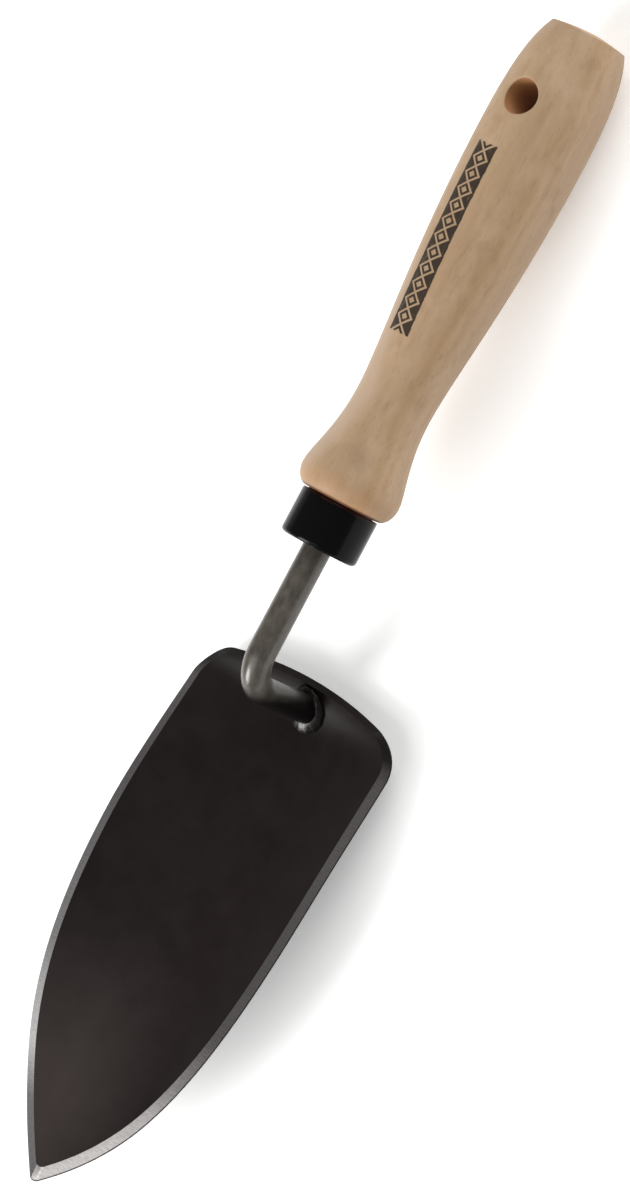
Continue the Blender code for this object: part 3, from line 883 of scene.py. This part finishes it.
# painted sheen: the wood is paler and greyer on the left of the waist
wood_sheen_place = add_node(ash, "Math", MULTIPLY_ADD, {0: from_waist, 1: WOOD_SHEEN_NARROWING, 2: axes_mm["X"]})
wood_sheen_place = add_node(ash, "Math", MULTIPLY_ADD, {0: wobble, 1: 2.0, 2: wood_sheen_place})
wood = tinted(wood, wood_sheen_place, WOOD_SHEEN_FROM_X, WOOD_SHEEN_TO_X, 0.8, "#b69e87")
wood = tinted(wood, distance_to(PATCH_CENTER, 0.8), PATCH_RADIUS + 1.0, PATCH_RADIUS - 3.5, 0.4, "#8c6f50")
wood = tinted(wood, distance_to(KNOT_CENTER), KNOT_RADIUS + 1.0, KNOT_RADIUS + 0.2, 0.7, "#5d5137")
drilled = add_node(ash, "Mapping", None, {"Vector": place_mm, "Rotation": (0, -HOLE_TURN, 0)})
flattened = add_node(ash, "VectorMath", {"operation": "MULTIPLY"}, {0: drilled, 1: (1, 1, 0)})
from_bore = add_node(ash, "VectorMath", {"operation": "DISTANCE"}, {0: flattened, 1: (0, HOLE_Y / MM, 0)})
wood = tinted(wood, from_bore, BORE_REACH + 0.1, BORE_REACH - 0.15, 1.0, "#a97a50")
from_shoulder = add_node(ash, "Math", {"operation": "SUBTRACT"}, {0: axes_mm["Y"], 1: SHOULDER / MM})
wood = tinted(wood, from_shoulder, WARMED_TO_MM, 1.0, 0.4, "#b4875f")
# glue line and painted contact shade where the wood meets the ferrule
wood = tinted(wood, from_shoulder, GLUE_AND_SHADE_LINE_MM * 1.5, GLUE_AND_SHADE_LINE_MM * 0.5, 0.85, "#5a2a17")
print("hole's bare wall up to", BORE_REACH, "mm from its axis, glue line", GLUE_AND_SHADE_LINE_MM, "mm")

# %% [markdown]
# ### The stamped panel
#
# A dark panel is stamped along the handle. It is printed with a roller, so its edges follow the axis, and
# the open grain takes the ink unevenly. The pattern is a plain chain of lozenges, left bare. Turned by the
# panel's own angle, X is the distance from the panel's middle line and Y runs along it.

# %% Print the panel
PANEL_ANGLE = math.radians(-11.5)
PANEL_MIDDLE_Y = 80.7
PANEL_HALF_LENGTH = 27.25
PANEL_HALF_WIDTH = 3.6
LOZENGE_PITCH = 4.54
LOZENGE_HALF_WIDTH = 2.55
LOZENGE_LINE = 0.17
CORE = 0.42

turned = add_node(ash, "Mapping", None, {"Vector": place_mm, "Rotation": (0, -PANEL_ANGLE, 0)})
panel_axes = add_node(ash, "SeparateXYZ", None, {"Vector": turned}).outputs
ragged = add_node(ash, "Math", MULTIPLY_ADD, {0: grain_noise(0.5, 0.3, 2.0), 1: 0.5, 2: -0.25})
off_middle = add_node(ash, "Math", {"operation": "ABSOLUTE"}, {0: panel_axes["X"]})
past_center = add_node(ash, "Math", {"operation": "SUBTRACT"}, {0: panel_axes["Y"], 1: PANEL_MIDDLE_Y})
off_center = add_node(ash, "Math", {"operation": "ABSOLUTE"}, {0: past_center})
to_side = add_node(ash, "Math", {"operation": "SUBTRACT"}, {0: PANEL_HALF_WIDTH, 1: off_middle})
to_end = add_node(ash, "Math", {"operation": "SUBTRACT"}, {0: PANEL_HALF_LENGTH, 1: off_center})
inside = add_node(ash, "Math", {"operation": "MINIMUM"}, {0: to_side, 1: to_end})
uneven = add_node(ash, "Math", {"operation": "ADD"}, {0: inside, 1: ragged})
covered = add_node(ash, "MapRange", SMOOTHLY, {"Value": uneven, "From Min": -0.06, "From Max": 0.10})
above = add_node(ash, "Math", {"operation": "GREATER_THAN"}, {0: panel_axes["Z"], 1: 0.0})
panel = add_node(ash, "Math", {"operation": "MULTIPLY"}, {0: covered, 1: above})

# %% The lozenges, and where the ink is worn
step_along = add_node(ash, "Math", {"operation": "PINGPONG"}, {0: off_center, 1: LOZENGE_PITCH / 2})
across_share = add_node(ash, "Math", {"operation": "DIVIDE"}, {0: off_middle, 1: LOZENGE_HALF_WIDTH})
along_share = add_node(ash, "Math", {"operation": "DIVIDE"}, {0: step_along, 1: LOZENGE_PITCH / 2})
lozenge = add_node(ash, "Math", {"operation": "ADD"}, {0: across_share, 1: along_share})
lozenge_line = add_node(ash, "Math", {"operation": "COMPARE"}, {0: lozenge, 1: 1.0, 2: LOZENGE_LINE})
core = add_node(ash, "Math", {"operation": "LESS_THAN"}, {0: lozenge, 1: CORE})
marks = add_node(ash, "Math", {"operation": "MAXIMUM"}, {0: lozenge_line, 1: core})
open_grain = add_node(ash, "Math", {"operation": "ADD"}, {0: pore, 1: ragged})
wear = {"Value": open_grain, "From Min": 0.62, "From Max": 0.85, "To Min": 1.0, "To Max": 0.6}
ink_left = add_node(ash, "MapRange", SMOOTHLY, wear)
printed = add_node(ash, "Math", MULTIPLY_ADD, {0: marks, 1: -0.85, 2: 0.93})
ink = add_node(ash, "Math", {"operation": "MULTIPLY"}, {0: panel, 1: printed})
ink = add_node(ash, "Math", {"operation": "MULTIPLY"}, {0: ink, 1: ink_left})
wood = add_node(ash, "Mix", {"data_type": "RGBA"}, {"Factor": ink, MIX_A: wood, MIX_B: linear("#140d0a")})
ash.node_tree.links.new(wood.outputs[MIX_RESULT], shader.inputs["Base Color"])

# %% The handle's sizes
SHOULDER_RADIUS = 10.6 * MM
FLARE_RADIUS = 14.22 * MM
FLARE_FROM_SHOULDER = 5.5 * MM
WAIST_RADIUS = 10.6 * MM
WAIST_FROM_SHOULDER = 29 * MM
PALM_RADIUS = 15.03 * MM
PALM_FROM_BUTT = 32.3 * MM
BUTT_RADIUS = 10.7 * MM
BUTT_TAPER = math.radians(26)
BUTT_DOME = 1.1 * MM
BUTT_FLAT_RADIUS = 3.38 * MM
TENON_RADIUS = inner_radius - FIT_GAP
HOLE_RADIUS = 5.0 * MM
HOLE_EASING = 0.7 * MM
HANDLE_STEPS = 96
ROW_SPACING = 1.0 * MM


def sweep(start, start_pull, end_pull, end, steps):
    """Points of a Bezier curve."""
    corners = [np.array(p) for p in (start, start_pull, end_pull, end)]
    points = []
    for t in np.linspace(0, 1, steps + 1):
        shares = ((1 - t) ** 3, 3 * t * (1 - t) ** 2, 3 * t**2 * (1 - t), t**3)
        points.append(tuple(sum(share * corner for share, corner in zip(shares, corners))))
    return points


# %% The turned outline
palm = (PALM_RADIUS, BUTT - PALM_FROM_BUTT)
waist = (WAIST_RADIUS, SHOULDER + WAIST_FROM_SHOULDER)
flare = (FLARE_RADIUS, SHOULDER + FLARE_FROM_SHOULDER)
rim = (BUTT_RADIUS, BUTT - BUTT_DOME)
taper = rim[1] - palm[1]
rim_pull = (rim[0] + 0.2 * taper * math.tan(BUTT_TAPER), rim[1] - 0.2 * taper)
body = sweep(rim, rim_pull, (palm[0], palm[1] + 0.53 * taper), palm, 60)
grip = palm[1] - waist[1]
body += sweep(palm, (palm[0], palm[1] - 0.51 * grip), (waist[0], waist[1] + 0.18 * grip), waist, 60)[1:]
neck = waist[1] - flare[1]
body += sweep(waist, (waist[0], waist[1] - 0.51 * neck), (flare[0], flare[1] + 0.17 * neck), flare, 60)[1:]
body_radii, body_places = np.array(body)[::-1].T


def handle_radius(y):
    """Radius of the turned surface at a place along the axis."""
    return float(np.interp(y, body_places, body_radii))


dome = sweep(
    (BUTT_FLAT_RADIUS, BUTT),
    (0.5 * BUTT_RADIUS, BUTT - 0.1 * BUTT_DOME),
    (0.7 * BUTT_RADIUS, BUTT - 0.45 * BUTT_DOME),
    rim,
    10,
)
rows = np.linspace(rim[1], flare[1], round((rim[1] - flare[1]) / ROW_SPACING) + 1)
shoulder_round = sweep(
    flare,
    (flare[0], flare[1] - 0.55 * FLARE_FROM_SHOULDER),
    (SHOULDER_RADIUS + 0.55 * (FLARE_RADIUS - SHOULDER_RADIUS), SHOULDER),
    (SHOULDER_RADIUS, SHOULDER),
    12,
)
outline = [(0, BUTT)] + dome[:-1] + [(handle_radius(y), y) for y in rows] + shoulder_round[1:]
outline += [(TENON_RADIUS, SHOULDER), (TENON_RADIUS, TENON_END), (BORE_RADIUS, TENON_END)]
outline += [(BORE_RADIUS, TANG_END + FIT_GAP), (0, TANG_END + FIT_GAP)]
print("handle outline of", len(outline), "points")

# %% [markdown]
# ### The hanging hole
#
# A hole drilled through a round handle is usually cut with a boolean, which leaves uneven faces round the
# rim, and they show in a smooth finish. Here the rows of faces round the hole are taken out on both sides.
# The edge that is left is extruded inwards, ring by ring, on the turned surface, then over a rounded rim,
# and the two rims are joined.

# %% Turn the handle and drill it
PATCH_ROWS = 9
PATCH_COLUMNS = 10
RINGS_ON_SURFACE = 6
RINGS_ON_RIM = 6
DISH_REACH = 3.0 * MM
DISH_DEPTH = 0.15 * MM


def inward_ring(shape, edges, side, radius_after):
    """Extrudes the ring round the hole and moves each new vertex straight towards the hole's middle."""
    made = bmesh.ops.extrude_edge_only(shape, edges=edges)["geom"]
    ring = [g for g in made if isinstance(g, bmesh.types.BMVert)]
    for vertex in ring:
        x, y = vertex.co.x, vertex.co.y - HOLE_Y
        now = math.hypot(x, y)
        after = radius_after(now)
        x, y = x * after / now, y * after / now
        over_rim = after - HOLE_RADIUS
        sunk = HOLE_EASING - math.sqrt(max(0.0, HOLE_EASING**2 - max(0.0, HOLE_EASING - over_rim) ** 2))
        sunk += DISH_DEPTH * max(0.0, 1 - max(0.0, over_rim - HOLE_EASING / 2) / DISH_REACH) ** 2
        surface = math.sqrt(handle_radius(y + HOLE_Y) ** 2 - x**2)
        vertex.co = (x, y + HOLE_Y, side * (surface - sunk))
    kept = set(ring)
    return [g for g in made if isinstance(g, bmesh.types.BMEdge) and kept.issuperset(g.verts)]


shape = spun(outline, HANDLE_STEPS)
patch_x = handle_radius(HOLE_Y) * math.sin(2 * math.pi * PATCH_COLUMNS / HANDLE_STEPS)
patch_y = PATCH_ROWS * ROW_SPACING
rims = []
for side in (1, -1):
    patch = []
    for face in shape.faces:
        center = face.calc_center_median()
        if side * center.z > 0 and abs(center.x) < patch_x and abs(center.y - HOLE_Y) < patch_y:
            patch.append(face)
    bmesh.ops.delete(shape, geom=patch, context="FACES")
    ring = [edge for edge in shape.edges if edge.is_boundary and side * edge.verts[0].co.z > 0]
    eased = HOLE_RADIUS + HOLE_EASING
    for left in range(RINGS_ON_SURFACE, 0, -1):
        ring = inward_ring(shape, ring, side, lambda now: eased + (now - eased) * (left - 1) / left)
    for turn in np.linspace(0, math.pi / 2, RINGS_ON_RIM + 1)[1:]:
        ring = inward_ring(shape, ring, side, lambda now: eased - HOLE_EASING * math.sin(turn))
    rims += ring
bmesh.ops.bridge_loops(shape, edges=rims)
bmesh.ops.rotate(shape, cent=(0, 0, 0), matrix=Matrix.Rotation(HOLE_TURN, 3, "Y"), verts=shape.verts)
finish_piece("ash_handle", shape, (ash,), "handle", 50)

# %% [markdown]
# ## Floor and light
#
# The tool lies on a plain pale floor that glows a little, like a lit table, so its shadows stay faint. One
# large soft light stands beyond the butt and one beyond the tip. From there neither is mirrored in the
# sides of the rod and the ferrule or in the hollow of the blade, so these stay dark. A lower light stands
# out past the tip and a little to its left. It puts the bright lines on the bend and the weld. Two dim cards
# at the sides give the round pieces their long, faint reflections.

# %% The floor
FLOOR_SIZE = 12.0
floor_paint, shader, _ = new_material("pale_matt_floor")
shader.inputs["Base Color"].default_value = linear("#f9f9f8")
shader.inputs["Roughness"].default_value = 0.9
shader.inputs["Emission Color"].default_value = linear("#ffffff")
shader.inputs["Emission Strength"].default_value = 0.28
shape = bmesh.new()
bmesh.ops.create_grid(shape, x_segments=1, y_segments=1, size=FLOOR_SIZE / 2)
floor_mesh = bpy.data.meshes.new("floor")
shape.to_mesh(floor_mesh)
shape.free()
floor_mesh.materials.append(floor_paint)
floor = bpy.data.objects.new("floor", floor_mesh)
bpy.context.scene.collection.objects.link(floor)
print("floor", FLOOR_SIZE, "m square")


# %% The lights
def soft_light(name, direction, distance, size, power):
    """An area light that faces the ferrule from a direction given in the tool's frame."""
    data = bpy.data.lights.new(name, "AREA")
    data.shape = "RECTANGLE"
    data.size, data.size_y = size
    data.energy = power
    light = bpy.data.objects.new(name, data)
    bpy.context.scene.collection.objects.link(light)
    out = tool_turn.to_3x3() @ Vector(direction).normalized()
    light.location = tool_origin + out * distance
    light.rotation_mode = "QUATERNION"
    light.rotation_quaternion = out.to_track_quat("Z", "Y")


soft_light("butt_light", (0.15, 0.75, 0.64), 1.8, (2.2, 1.4), 30)
soft_light("front_light", (-0.05, -0.62, 0.78), 1.8, (1.6, 1.0), 10)
soft_light("tip_strip", (-0.34, -0.85, 0.38), 1.7, (0.6, 0.9), 27)
soft_light("right_card", (1.0, 0.0, 0.17), 1.6, (2.4, 0.5), 0.1)
soft_light("left_card", (-1.0, 0.0, 0.17), 1.6, (2.4, 0.5), 1.6)
world = bpy.data.worlds.new("studio")
bpy.context.scene.world = world
world.use_nodes = True
world.node_tree.nodes["Background"].inputs["Color"].default_value = linear("#ffffff")
world.node_tree.nodes["Background"].inputs["Strength"].default_value = 0.16
bpy.context.scene.view_settings.view_transform = "Standard"
